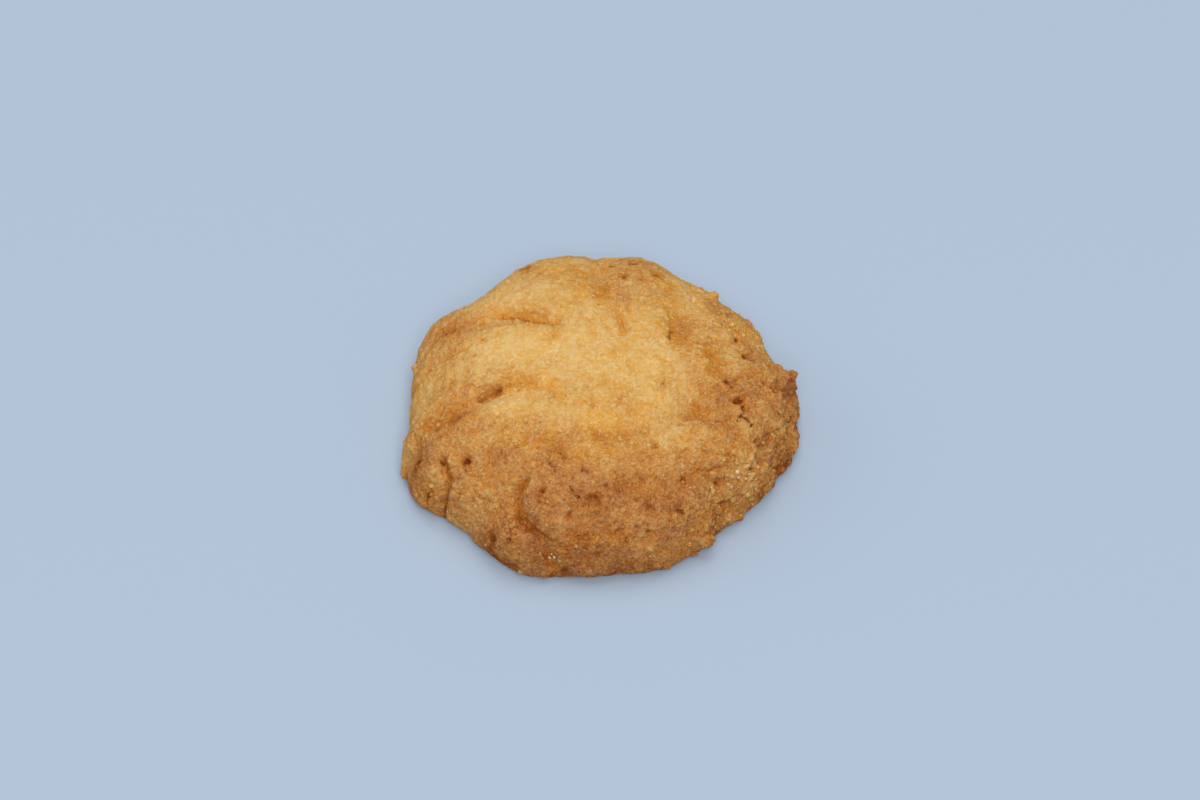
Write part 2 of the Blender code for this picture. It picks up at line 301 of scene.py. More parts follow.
# Brown patches: x, y, half length along x and y, how much browner
BROWN_PATCHES = (
    (0.3, 14.3, 1.7, 2.8, 0.16),
    (-1.8, 18.0, 2.4, 2.6, 0.06),
    (12.0, 6.4, 1.7, 4.2, 0.20),
    (8.8, 20.0, 1.4, 2.2, 0.12),
    (-22.5, 9.6, 3.0, 2.6, 0.24),
    (-11.5, 22.0, 1.6, 1.6, 0.16),
    (-21.5, -8.2, 3.6, 1.5, 0.34),
    (-26.5, -12.5, 1.8, 2.6, 0.20),
    (-5.2, -15.8, 2.0, 1.8, 0.14),
    (-14.6, -15.4, 1.4, 1.4, 0.08),
    (-11.0, -23.2, 1.2, 2.4, 0.14),
    (-9.2, -27.0, 1.8, 2.2, 0.10),
    (-3.0, -28.6, 5.5, 1.2, 0.16),
    (0.0, -22.0, 4.5, 2.0, 0.12),
    (6.5, -22.4, 2.4, 1.4, 0.16),
    (14.5, -20.0, 2.6, 2.0, 0.14),
    (19.0, -4.5, 3.6, 2.6, 0.08),
    (21.8, 3.8, 1.6, 1.5, 0.10),
    (27.5, 0.5, 2.2, 2.2, 0.06),
    (-14.0, -25.0, 3.0, 2.0, 0.14),
    (-6.6, 4.5, 1.5, 1.0, 0.14),
    (-7.0, -7.0, 1.2, 1.2, 0.14),
    (9.2, -4.0, 1.0, 1.6, 0.16),
    (13.0, -10.5, 2.4, 1.4, 0.14),
    (1.5, -14.0, 3.0, 1.2, 0.10),
    (16.5, 1.0, 1.8, 2.4, 0.10),
    (8.0, 13.0, 1.4, 2.4, 0.10),
    (-7.2, -6.5, 1.4, 1.4, 0.12),
    (16.0, -7.0, 2.0, 2.2, 0.10),
    (7.0, -12.5, 2.0, 1.8, 0.10),
    (-23.5, -11.0, 2.0, 1.5, 0.14),
    (-9.0, -24.0, 2.0, 2.4, 0.10),
    (-3.0, 16.0, 1.8, 1.8, 0.08),
    (2.7, 7.0, 1.0, 1.4, 0.14),
    (18.5, 12.5, 1.8, 1.8, 0.10),
    (20.8, -7.3, 1.3, 0.8, 0.15),
    (28.2, 0.9, 1.2, 1.0, 0.15),
    (28.7, 2.4, 0.9, 0.9, 0.25),
    (21.0, -9.3, 1.2, 0.7, -0.30),
    (20.4, -5.8, 2.0, 1.8, -0.10),
    (22.0, 10.0, 2.4, 3.4, -0.12),
    (22.0, -14.0, 2.4, 2.4, -0.08),
    (17.5, -20.5, 3.4, 3.2, -0.08),
    (12.0, -26.0, 3.0, 2.0, -0.08),
    (-27.0, -10.0, 1.8, 3.0, -0.08),
    (-25.0, -16.0, 2.0, 2.0, -0.10),
    (-18.0, -20.0, 3.0, 2.2, -0.08),
    (-4.0, 22.0, 3.0, 2.4, -0.08),
    (10.0, 19.0, 2.4, 2.0, -0.06),
    (0.0, -16.5, 3.4, 3.0, -0.05),
    (27.6, 2.8, 1.6, 1.4, -0.15),
    (16.4, 17.8, 1.8, 1.4, -0.10),
    (-26.2, 1.0, 2.4, 7.0, -0.22),
    (-24.6, 10.0, 1.8, 2.6, -0.12),
    (-22.0, -4.0, 2.6, 2.4, -0.08),
    (19.0, 0.5, 2.4, 4.6, -0.16),
    (25.0, 5.0, 2.0, 2.6, -0.12),
    (20.4, -6.6, 1.6, 1.6, -0.15),
    (11.5, 19.0, 1.8, 1.8, -0.08),
    (20.4, -17.0, 2.2, 2.0, -0.14),
    (-19.0, -19.0, 2.4, 2.2, -0.12),
    (-12.5, -21.0, 3.0, 3.0, -0.08),
    (2.5, -16.4, 4.6, 1.8, -0.08),
    (13.0, -24.6, 1.8, 1.4, -0.08),
    (5.0, -3.5, 6.0, 6.0, 0.09),
    (10.4, -12.2, 2.2, 1.6, 0.10),
    (-4.0, 12.0, 2.6, 2.6, 0.06),
    (5.0, 21.5, 3.2, 1.8, 0.12),
    (-2.6, 15.4, 1.6, 1.8, 0.07),
    (2.0, 1.2, 1.6, 2.0, 0.06),
    (-2.4, -7.6, 2.0, 1.6, 0.06),
    (7.6, -5.0, 1.8, 1.4, 0.08),
    (0.3, 12.3, 1.2, 1.4, 0.08),
    (15.5, -8.8, 2.6, 2.2, 0.05),
    (-15.5, 12.0, 2.6, 1.8, 0.07),
    (-25.0, -4.6, 1.6, 1.6, -0.16),
    (-28.4, -8.6, 1.6, 2.6, -0.16),
    (-21.4, -7.6, 2.4, 1.2, -0.14),
    (-21.6, 12.0, 2.4, 1.6, -0.10),
    (24.9, -2.4, 1.4, 1.4, -0.12),
    (25.0, -7.4, 1.6, 1.4, -0.10),
    (22.4, 10.2, 1.6, 1.6, -0.08),
    (15.0, 12.6, 1.6, 1.4, -0.12),
    (15.0, -22.6, 1.6, 1.4, -0.18),
    (-1.2, 10.2, 1.6, 1.2, -0.10),
    (7.6, 6.2, 1.4, 1.8, 0.09),
    (9.2, -1.2, 1.6, 2.0, 0.08),
    (0.0, -5.0, 1.2, 1.4, 0.09),
    (10.2, -11.4, 2.6, 1.8, 0.10),
    (18.8, -10.2, 4.0, 1.4, 0.06),
    (-0.6, -22.6, 2.0, 1.4, 0.08),
    (11.2, -22.2, 1.6, 1.4, 0.08),
    (-2.4, -27.4, 2.4, 1.0, 0.14),
    (-15.2, -14.6, 1.4, 1.6, 0.08),
    (-26.0, 11.0, 3.0, 3.0, 0.06),
    (20.4, 4.0, 2.2, 3.4, -0.20),
    (22.4, 10.0, 2.2, 2.6, -0.16),
    (17.0, 0.0, 2.0, 1.6, -0.10),
    (20.0, -7.6, 2.2, 1.4, -0.14),
    (24.8, 0.4, 1.4, 1.6, -0.14),
    (17.0, -12.8, 3.2, 1.6, -0.12),
    (22.6, -13.8, 2.0, 2.4, -0.16),
    (17.6, -18.8, 2.6, 2.2, -0.18),
    (15.0, 16.4, 3.0, 3.4, -0.10),
    (-6.0, 22.4, 4.6, 1.8, -0.10),
    (10.8, 20.4, 2.2, 1.6, -0.10),
    (-0.8, 9.8, 1.8, 1.4, -0.10),
    (0.2, 6.4, 1.4, 2.4, -0.12),
    (-17.6, -4.8, 2.0, 0.9, -0.10),
    (-7.4, -12.4, 1.6, 1.4, -0.12),
    (-2.6, -15.2, 3.0, 1.4, -0.08),
    (-22.4, -15.0, 1.6, 1.6, -0.14),
    (-5.0, -27.2, 1.6, 1.0, -0.12),
    (8.6, -17.6, 2.2, 1.4, -0.12),
    (5.0, 23.4, 5.6, 2.2, 0.12),
    (22.0, 0.0, 4.6, 12.0, 0.05),
    (-24.6, 8.8, 1.6, 1.6, 0.10),
)

# Golden patches: x, y, half length along x and y, strength
GOLD_PATCHES = (
    (-2.4, 18.2, 1.8, 1.8, 0.95),
    (10.2, 16.4, 1.5, 2.2, 0.85),
    (-5.0, 10.2, 1.6, 1.4, 0.65),
    (20.2, 10.0, 1.6, 1.6, 0.6),
    (-5.2, -15.2, 1.8, 1.4, 0.85),
    (-25.2, -8.2, 1.8, 2.0, 0.85),
    (0.3, 14.0, 1.5, 2.4, 1.0),
    (-2.4, 17.5, 2.0, 2.6, 0.7),
    (8.6, 18.0, 1.3, 4.0, 0.6),
    (12.0, 7.0, 1.4, 5.0, 0.7),
    (-21.8, 9.2, 1.8, 1.8, 0.6),
    (-21.5, -8.4, 3.4, 1.5, 0.9),
    (-7.0, 4.4, 2.6, 1.6, 0.35),
    (16.5, 1.0, 1.8, 2.8, 0.7),
    (17.5, -3.5, 2.4, 2.4, 0.4),
    (1.5, -13.5, 5.0, 2.2, 0.5),
    (-5.0, -15.8, 2.4, 2.0, 0.6),
    (14.0, -8.5, 2.0, 1.8, 0.4),
    (14.5, -16.5, 2.0, 2.4, 0.4),
    (6.5, -21.5, 2.4, 1.6, 0.4),
    (-2.8, 14.6, 2.0, 3.0, 0.7),
    (0.3, 12.3, 1.3, 1.5, 0.8),
    (10.5, 13.8, 1.5, 2.2, 0.7),
    (-7.5, 20.3, 1.8, 1.8, 0.7),
    (2.0, 1.2, 1.5, 1.9, 0.6),
    (-2.4, -7.6, 1.8, 1.5, 0.5),
    (7.5, -5.0, 1.8, 1.5, 0.6),
    (-5.5, 11.0, 2.0, 1.6, 0.4),
    (14.0, -5.0, 1.6, 1.4, 0.5),
    (1.0, -2.0, 5.0, 5.0, 0.25),
    (-5.6, 17.6, 2.2, 2.0, 0.6),
    (-22.4, 10.0, 1.2, 1.2, 0.8),
    (2.6, 22.4, 1.4, 1.2, 0.6),
    (8.6, 7.0, 1.4, 2.0, 0.5),
    (2.4, 0.4, 1.2, 1.4, 0.9),
    (-11.4, -12.6, 2.4, 2.2, 0.55),
    (-7.6, -14.4, 3.6, 1.8, 0.6),
    (14.0, -14.6, 2.4, 2.6, 0.5),
    (-1.0, -22.5, 2.0, 1.4, 0.7),
    (-25.0, -8.8, 1.6, 1.6, 0.6),
    (0.0, -10.0, 2.4, 1.2, 0.5),
    (5.2, -9.6, 1.6, 1.4, 0.5),
    (0.0, -26.6, 8.0, 1.4, 0.4),
)
EDGE_BAKE = 0.62

# ---------------------------------------------------------------- camera, floor and lights

VIEW_ELEVATION = 51.0
VIEW_WIDTH = 180.7
VIEW_AIM = (0.0, 5.0, 0.0)
LENS = 85.0
SENSOR = 36.0

FLOOR_COLOUR = (0.449, 0.550, 0.684)


def srgb(red, green, blue):
    """Linear colour from the usual 0 to 255 values."""
    return tuple(((c / 255 + 0.055) / 1.055) ** 2.4 if c > 10 else c / 3294.6 for c in (red, green, blue))


# ---------------------------------------------------------------- finishes

class Wire:
    """A number that a finish carries over the surface. Arithmetic on it adds Math nodes."""

    def __init__(self, finish, socket):
        self.finish = finish
        self.socket = socket

    def maths(self, operation, *values, clamp=False):
        settings = {"operation": operation, "use_clamp": clamp}
        return self.finish.add("ShaderNodeMath", settings, dict(enumerate(values)))

    def __add__(self, other):
        return self.maths("ADD", self, other)

    def __radd__(self, other):
        return self.maths("ADD", other, self)

    def __sub__(self, other):
        return self.maths("SUBTRACT", self, other)

    def __rsub__(self, other):
        return self.maths("SUBTRACT", other, self)

    def __mul__(self, other):
        return self.maths("MULTIPLY", self, other)

    def __rmul__(self, other):
        return self.maths("MULTIPLY", other, self)

    def __pow__(self, power):
        return self.maths("POWER", self, power)

    def clamped(self):
        return self.maths("ADD", self, 0.0, clamp=True)

    def output(self, name):
        """Another output of the same node."""
        return Wire(self.finish, self.socket.node.outputs[name])


class Finish:
    """A material under construction."""

    def __init__(self, name, **fixed):
        self.material = bpy.data.materials.new(name)
        self.material.use_nodes = True
        self.nodes = self.material.node_tree.nodes
        self.links = self.material.node_tree.links
        self.shader = self.nodes["Principled BSDF"]
        for socket, value in fixed.items():
            self.shader.inputs[socket.replace("_", " ")].default_value = value

    def feed(self, socket, value):
        if isinstance(value, Wire):
            self.links.new(value.socket, socket)
        else:
            socket.default_value = value

    def add(self, kind, settings=None, inputs=None, output=0):
        """A node of this kind, with its settings, its sockets' values or links, and one output."""
        node = self.nodes.new(kind)
        settings = dict(settings or {})
        stops = settings.pop("stops", None)
        for name, value in settings.items():
            setattr(node, name, value)
        if stops:
            ramp = node.color_ramp
            while len(ramp.elements) < len(stops):
                ramp.elements.new(1.0)
            for element, (place, colour) in zip(ramp.elements, stops):
                element.position = place
                element.color = (*colour, 1.0)
        for name, value in (inputs or {}).items():
            self.feed(node.inputs[name], value)
        return Wire(self, node.outputs[output])

    def place(self):
        return self.add("ShaderNodeTexCoord", output="Object")

    def attribute(self, name):
        return self.add("ShaderNodeAttribute", {"attribute_name": name}, output="Fac")

    def grain(self, place, length, detail=2.0, roughness=0.5, offset=(0, 0, 0), distortion=0.0):
        """Noise from about -1 to 1 whose bumps are this many millimetres long."""
        moved = self.add("ShaderNodeMapping", None, {"Vector": place, "Location": offset})
        sizes = {"Scale": 1.0 / (length * MM), "Detail": detail, "Roughness": roughness}
        found = self.add(
            "ShaderNodeTexNoise",
            {"noise_dimensions": "3D"},
            {"Vector": moved, "Distortion": distortion, **sizes},
        )
        return (found - 0.5) * 3.0

    def bent(self, place, length, shift):
        """The place moved about by up to this many millimetres, in swells of this length."""
        noise_settings = {"noise_dimensions": "3D"}
        sizes = {"Vector": place, "Scale": 1.0 / (length * MM), "Detail": 1.0}
        found = self.add("ShaderNodeTexNoise", noise_settings, sizes, output="Color")
        reach = (2.0 * shift * MM,) * 3
        centred = self.add("ShaderNodeVectorMath", {"operation": "SUBTRACT"}, {0: found, 1: (0.5, 0.5, 0.5)})
        return self.add("ShaderNodeVectorMath", {"operation": "MULTIPLY_ADD"}, {0: centred, 1: reach, 2: place})

    def crumbs(self, place, size, offset=(0, 0, 0)):
        """Packed crumbs of this size: how far from a crumb's middle, and the crumb's own shade, -1 to 1."""
        moved = self.add("ShaderNodeMapping", None, {"Vector": place, "Location": offset})
        away = self.add("ShaderNodeTexVoronoi", None, {"Vector": moved, "Scale": 1.0 / (size * MM)})
        return away, (away.output("Color") - 0.5) * 3.0

    def seams(self, place, size, offset=(0, 0, 0)):
        """How far from the nearest joint between packed flakes of this size, as a share of the size."""
        moved = self.add("ShaderNodeMapping", None, {"Vector": place, "Location": offset})
        joints = {"feature": "DISTANCE_TO_EDGE"}
        return self.add("ShaderNodeTexVoronoi", joints, {"Vector": moved, "Scale": 1.0 / (size * MM)})

    def ramp(self, value, stops):
        return self.add("ShaderNodeValToRGB", {"stops": stops}, {"Fac": value})

    def step(self, value, low, high):
        """0 below low, 1 above high, smooth between."""
        return self.add(
            "ShaderNodeMapRange",
            {"interpolation_type": "SMOOTHSTEP"},
            {"Value": value, "From Min": low, "From Max": high},
        )

    def blend(self, amount, first, second, mode="MIX"):
        """Mixes two colours."""
        return self.add(
            "ShaderNodeMix",
            {"data_type": "RGBA", "blend_type": mode, "clamp_factor": True},
            {0: amount, 6: first, 7: second},
            output=2,
        )

    def bump(self, height, distance, strength=1.0, under=None):
        inputs = {"Height": height, "Distance": distance * MM, "Strength": strength}
        if under:
            inputs["Normal"] = under
        return self.add("ShaderNodeBump", None, inputs)


BAKE_STOPS = (
    (0.00, srgb(240, 201, 133)),
    (0.25, srgb(231, 183, 110)),
    (0.50, srgb(215, 157, 90)),
    (0.75, srgb(195, 132, 78)),
    (1.00, srgb(154, 90, 50)),
)
PALE_GRAIN = (*srgb(250, 216, 152), 1.0)
# dark brown of the pinholes and seams, and of the painted shade in the crevices between flakes
BROWN_PORE_AND_SHADE = (*srgb(142, 66, 20), 1.0)
# painted shade: the dark red-brown of the deepest cracks, pits and fold lines
DEEP_HOLLOW_SHADE = (*srgb(118, 50, 10), 1.0)
# tints browned smudges and the golden patches, and as painted warm shade the folds' slopes and the creases between
# crumbs
GOLDEN = (1.0, 0.81, 0.40, 1.0)


def baked_dough():
    finish = Finish(
        "baked_dough",
        Specular_IOR_Level=0.06,
        Subsurface_Weight=0.20,
        Subsurface_Radius=(1.0, 0.45, 0.18),
        Subsurface_Scale=0.5 * MM,
    )
    place = finish.place()
    bake = finish.attribute("bake")
    hollow_shade = finish.attribute("hollow_shade")
    gold_and_shade = finish.attribute("gold_and_shade")
    lift = finish.attribute("relief")
    uneven = finish.bent(place, 0.7, 0.35)
    warmth = finish.grain(place, 5.0, offset=(0.7, 5.2, 2.9))
    smudge = finish.grain(place, 2.4, detail=3.0, roughness=0.6, offset=(4.7, 1.1, 3.8), distortion=0.5)
    mottle = finish.grain(place, 1.1, detail=2.0, roughness=0.6, distortion=0.6)
    sand = finish.grain(place, 0.20, detail=1.0, roughness=0.6, offset=(1.1, 4.4, 2.6))
    crumb, crumb_shade = finish.crumbs(uneven, 0.80)
    flake, flake_shade = finish.crumbs(uneven, 0.40, offset=(0.013, 0.021, 0.007))
    pin, pin_shade = finish.crumbs(finish.bent(place, 0.4, 0.08), 1.25, offset=(0.031, 0.011, 0.017))

    browned = finish.step(smudge, 0.15, 1.0) * (bake * 0.9 + 0.15)
    tone = bake + browned * 0.20 - finish.step(smudge * -1.0, 0.1, 1.0) * 0.07
    _, grit_shade = finish.crumbs(place, 0.24, offset=(0.003, 0.017, 0.029))
    # painted shade: where the relief is low, between the lumps, the tone turns browner
    coarse = mottle * 0.8 + crumb_shade * 0.7 + flake_shade * 0.9 + grit_shade * 0.8 + sand * 0.6 - lift * 0.8
    # painted shade: cracks, pits, fissures and the folds' dark lines make the tone browner
    tone = tone + coarse * (bake * 0.05 + 0.072) + hollow_shade * 0.25
    colour = finish.ramp(tone.clamped(), BAKE_STOPS)

    # painted shade: the creases between crumbs and the low parts of the relief turn darker and more golden
    valley_shade = finish.step(crumb + mottle * 0.15 - lift * 0.25, 0.32, 0.80)
    golden = finish.blend((gold_and_shade + browned * 0.75 + valley_shade * 0.52).clamped(), colour, GOLDEN, mode="MULTIPLY")

    wide = bake * 0.13 + browned * 0.06 + 0.068
    clusters = finish.step(mottle + smudge * 0.5 + pin_shade * 0.5, 0.1, 0.5)
    pinhole = finish.step((wide - pin) * 14.0, 0.0, 1.0) * clusters
    # painted shade: darker in the crevices between flakes, on browner dough
    nook_shade = finish.step(flake - flake_shade * 0.12 - sand * 0.10, 0.55, 0.80) * finish.step(bake, 0.05, 0.6)
    seam = finish.step((0.10 - finish.seams(uneven, 1.3, offset=(0.023, 0.007, 0.041))) * 10.0, 0.0, 1.0)
    seam = seam * finish.step(smudge * 0.6 - mottle * 0.6 + sand * 0.4, 0.3, 0.8)
    # pinholes and seams are the crust's own dark specks; the crevice part is painted shade
    pore = (pinhole + nook_shade * 0.45 + seam * 0.30).clamped()
    pored_and_shaded = finish.blend(pore * (bake * 0.30 + 0.54), golden, BROWN_PORE_AND_SHADE)
    pale = finish.step(crumb_shade * 0.7 + flake_shade * 0.7 + sand * 0.4 - smudge * 0.2, 0.70, 1.4)
    grained = finish.blend(pale * (0.80 - bake * 0.78), pored_and_shaded, PALE_GRAIN)
    # painted shade: the deeper a crack, pit, fissure or fold line, the more its colour turns to the dark hollow
    # colour
    deep = finish.step(hollow_shade + flake_shade * 0.10 + sand * 0.08, 0.22, 0.70)
    base = finish.blend(deep * 0.78, grained, DEEP_HOLLOW_SHADE)
    finish.feed(finish.shader.inputs["Base Color"], base)

    rough = 0.80 + mottle * 0.04 + warmth * 0.03
    finish.feed(finish.shader.inputs["Roughness"], rough.clamped())
    relief = crumb * -0.6 + crumb_shade * 0.26 - flake * 0.40 + flake_shade * 0.24 + sand * 0.24
    relief = relief * (bake * 0.5 + 0.7) + mottle * 0.15 - pinhole * 0.6
    finish.feed(finish.shader.inputs["Normal"], finish.bump(relief, 0.25))
    return finish.material


def sugar():
    finish = Finish("sugar", IOR=1.5, Coat_Weight=0.3, Specular_IOR_Level=0.6)
    tint = finish.grain(finish.place(), 0.8)
    colour = finish.blend(finish.step(tint, -0.5, 0.8), (*srgb(238, 216, 176), 1.0), (*srgb(226, 186, 128), 1.0))
    finish.feed(finish.shader.inputs["Base Color"], colour)
    finish.feed(finish.shader.inputs["Roughness"], (0.30 + tint * 0.08).clamped())
    finish.feed(finish.shader.inputs["Normal"], finish.bump(tint, 0.03))
    return finish.material


# ---------------------------------------------------------------- shapes

def own_piece(name, mesh, material):
    """A finished piece: shown, riding on the biscuit, with its finish."""
    piece = bpy.data.objects.new(name, mesh)
    bpy.context.scene.collection.objects.link(piece)
    mesh.materials.clear()
    mesh.materials.append(material)
    mesh.shade_smooth()
    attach(piece, "root")
    return piece


def merged_body():
    """The solid's own mesh with its loose triangles joined."""
    body = bmesh.new()
    body.from_mesh(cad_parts[BISCUIT].data)
    bmesh.ops.remove_doubles(body, verts=body.verts, dist=0.002 * MM)
    bmesh.ops.join_triangles(body, faces=body.faces, angle_face_threshold=0.7, angle_shape_threshold=0.7)
    return body


def applied(mesh, *modifiers):
    """A mesh after these modifiers, each a kind with its settings."""
    holder = bpy.data.objects.new("holder", mesh)
    bpy.context.scene.collection.objects.link(holder)
    for kind, settings in modifiers:
        modifier = holder.modifiers.new(kind.lower(), kind)
        for name, value in settings.items():
            setattr(modifier, name, value)
    scene_graph = bpy.context.evaluated_depsgraph_get()
    result = bpy.data.meshes.new_from_object(holder.evaluated_get(scene_graph))
    bpy.data.objects.remove(holder, do_unlink=True)
    return result


def mesh_from(body, name):
    mesh = bpy.data.meshes.new(name)
    body.to_mesh(mesh)
    body.free()
    return mesh


def coordinates(mesh):
    """The vertices' places in millimetres and their normals, as two tables."""
    count = len(mesh.vertices)
    places = np.empty(count * 3)
    mesh.vertices.foreach_get("co", places)
    normals = np.empty(count * 3)
    mesh.vertex_normals.foreach_get("vector", normals)
    return places.reshape(-1, 3) / MM, normals.reshape(-1, 3)


def put_coordinates(mesh, places):
    mesh.vertices.foreach_set("co", (places * MM).ravel())
    mesh.update()


def field(places, length, offset=0.0):
    """Smooth noise from about -1 to 1 at each place, with swells of this length."""
    shift = Vector((offset, offset * 0.7, -offset))
    return np.array([noise.noise(Vector(place) / length + shift) for place in places])


def crumb_field(places, size, offset=0.0):
    """Packed crumbs of this size, each a low dome of its own height, from about -0.5 to 0.5."""
    shift = Vector((offset, -offset, offset * 0.3))
    heights = []
    for place in places:
        near, centres = noise.voronoi(Vector(place) / size + shift)
        own = noise.cell(centres[0] * 31.7)
        dome = 1.0 - min(1.0, (near[0] / 0.8) ** 2)
        gap = min(1.0, 0.25 + (near[1] - near[0]) * 5.0)
        heights.append((0.55 * own + 0.55 * dome) * gap - 0.4)
    return np.array(heights)


def flake_field(places, size, offset=0.0):
    """Broken flakes of this size, each tilted its own way, from about -0.5 to 0.5."""
    shift = Vector((-offset, offset * 0.4, offset))
    heights = []
    for place in places:
        spot = Vector(place) / size + shift
        near, centres = noise.voronoi(spot)
        own = noise.cell(centres[0] * 31.7)
        tilt = noise.noise_vector(centres[0] * 5.3) * 1.6
        joint = max(0.0, 1.0 - (near[1] - near[0]) / 0.12)
        heights.append(0.45 * own + tilt.dot(spot - centres[0]) - 0.25 * joint - 0.2)
    return np.clip(heights, -0.8, 0.8)


def fissure_field(places, size, offset=0.0):
    """1 along the jagged joints between plates of this size, 0 on the plates."""
    shift = Vector((-offset, offset, offset * 0.6))
    joints = []
    for place in places:
        near, _ = noise.voronoi(Vector(place) / size + shift)
        joints.append(max(0.0, 1.0 - (near[1] - near[0]) / 0.11))
    return np.array(joints)


def bell(distance, reach):
    return np.exp(-((distance / reach) ** 2))


def patch(places, x, y, half_x, half_y):
    return np.exp(-(((places[:, 0] - x) / half_x) ** 2 + ((places[:, 1] - y) / half_y) ** 2))


def line_distance(places, points):
    """Plan distance from a bent line, positive on its left."""
    flat = places[:, :2]
    nearest = np.full(len(flat), np.inf)
    signed = np.zeros(len(flat))
    for first, second in zip(points, points[1:]):
        start = np.array(first)
        run = np.array(second) - start
        along = np.clip(((flat - start) @ run) / (run @ run), 0.0, 1.0)
        apart = flat - start - along[:, None] * run
        distance = np.hypot(apart[:, 0], apart[:, 1])
        side = run[0] * apart[:, 1] - run[1] * apart[:, 0]
        closer = distance < nearest
        nearest[closer] = distance[closer]
        signed[closer] = np.copysign(distance, side)[closer]
    return signed


def surface_finder(mesh):
    """A function from a plan place to the point of the upper surface there."""
    tree = BVHTree.FromPolygons(
        [vertex.co for vertex in mesh.vertices], [polygon.vertices for polygon in mesh.polygons]
    )

    def find(x, y):
        point, normal, _, _ = tree.ray_cast(Vector((x * MM, y * MM, 0.1)), Vector((0, 0, -1)))
        return (None, None) if point is None else (point / MM, normal)

    return find


def vertex_tree(places):
    """A search tree of these places."""
    tree = KDTree(len(places))
    for index, place in enumerate(places):
        tree.insert(place, index)
    tree.balance()
    return tree


def press_cracks(places, find, near):
    """How deep each vertex lies in a crack, a pit or a pore, in millimetres."""
    draw = random.Random(7)
    depth = np.zeros(len(places))

    def dent(x, y, radius, most):
        centre, _ = find(x, y)
        if centre:
            dent_at(centre, radius, most)

    def dent_at(centre, radius, most):
        for _, index, distance in near.find_range(centre, radius * 1.25):
            fall = (1.0 - (distance / (radius * 1.25)) ** 2) ** 1.2
            depth[index] = max(depth[index], most * fall)

    for points, half_width, most in CRACKS:
        for first, second in zip(points, points[1:]):
            steps = max(2, int(math.dist(first, second) / 0.18))
            for step in range(steps + 1):
                part = step / steps
                x = first[0] + (second[0] - first[0]) * part + draw.uniform(-0.14, 0.14)
                y = first[1] + (second[1] - first[1]) * part + draw.uniform(-0.14, 0.14)
                dent(x, y, half_width * draw.uniform(0.7, 1.2), most * draw.uniform(0.5, 1.0))
    for x, y, half_length, half_width, turn, most in PITS:
        run = (math.cos(math.radians(turn)), math.sin(math.radians(turn)))
        dent(x, y, max(0.24, half_width), most)
        for _ in range(int(4 + 6 * half_length)):
            along = draw.uniform(-0.9, 0.9) * half_length
            across = draw.uniform(-0.7, 0.7) * half_width
            spot = (x + along * run[0] - across * run[1], y + along * run[1] + across * run[0])
            radius = max(0.22, half_width * draw.uniform(0.45, 0.9))
            dent(*spot, radius, most * draw.uniform(0.4, 1.0))
    for x, y in PORES:
        dent(x, y, PORE[0] * draw.uniform(0.8, 1.1), PORE[1] * draw.uniform(0.7, 1.1))
    for _ in range(LOOSE_PORES):
        place = places[draw.randrange(len(places))]
        radius = draw.uniform(*LOOSE_PORE_RADIUS)
        if place[2] > 0.5:
            dent_at(Vector(place), radius, radius * draw.uniform(0.5, 1.2))
    return depth


def crumbliness(places):
    """How rough the surface is: 1 on the broken right side, less on the pale swirl and the left."""
    right = np.clip((places[:, 0] - 8.0) / 10.0, 0.0, 1.0)
    front = np.clip((-places[:, 1] - 10.0) / 8.0, 0.0, 1.0)
    low = np.clip((8.0 - places[:, 2]) / 6.0, 0.0, 1.0)
    patchy = 0.5 + 0.5 * field(places, 5.0, 21.0)
    return np.clip(0.15 + 0.60 * right + 0.22 * front + 0.10 * low + 0.40 * (patchy - 0.5), 0.0, 1.0)


def bake_of(places, normals):
    """How brown the dough is at each vertex: 0 pale to 1 dark. Paler towards the back, which is painted light."""
    pale = np.ones(len(places))
    for x, y, half_x, half_y, strength in PALE_PATCHES:
        pale *= 1.0 - strength * patch(places, x, y, half_x, half_y)
    up = np.clip((places[:, 2] - 7.0) / 5.0, 0.0, 1.0)
    pale = 1.0 - (1.0 - pale) * up
    front = np.clip(-places[:, 1] / 25.0, 0.0, 1.0)
    right = np.clip(places[:, 0] / 25.0, 0.0, 1.0)
    back = np.clip((places[:, 1] - 8.0) / 14.0, 0.0, 1.0)
    # browner towards the front and right; paler towards the back, which is painted light on the back of the dome
    edge = EDGE_BAKE - 0.10 + 0.14 * front + 0.08 * right - 0.18 * back
    bake = edge * pale
    for x, y, half_x, half_y, more in BROWN_PATCHES:
        bake += more * patch(places, x, y, half_x, half_y)
    for x, y, half_length, half_width, _, depth in PITS:
        halo = 0.5 * (half_length + half_width) + PIT_HALO
        bake += 0.22 * depth * patch(places, x, y, halo, halo)
    low = np.clip((3.0 - places[:, 2]) / 3.0, 0.0, 1.0)
    bake += 0.18 * low
    bake += 0.10 * field(places, 4.5, 61.0) + 0.07 * field(places, 2.4, 4.0) + 0.05 * field(places, 1.1, 9.0)
    under = np.clip(-normals[:, 2], 0.0, 1.0) * np.clip((1.2 - places[:, 2]) / 1.2, 0.0, 1.0)
    bake = bake * (1.0 - under) + 0.85 * under
    return np.clip(bake, 0.0, 1.2)


def gold_of(places, fold_shade):
    """How golden the colour is at each vertex: painted golden shade in the folds, and the golden patches."""
    gold_and_shade = fold_shade
    for x, y, half_x, half_y, strength in GOLD_PATCHES:
        gold_and_shade = np.maximum(gold_and_shade, strength * patch(places, x, y, half_x, half_y))
    for x, y, half_length, half_width, _, depth in PITS:
        halo = 0.5 * (half_length + half_width) + PIT_HALO
        gold_and_shade = np.maximum(gold_and_shade, min(1.0, 1.1 * depth) * patch(places, x, y, halo, halo))
    cloud = 0.30 * field(places, 3.6, 41.0) + 0.25 * field(places, 1.5, 43.0)
    return np.clip(gold_and_shade + cloud * (1.0 - 0.8 * fold_shade), 0.0, 1.0)


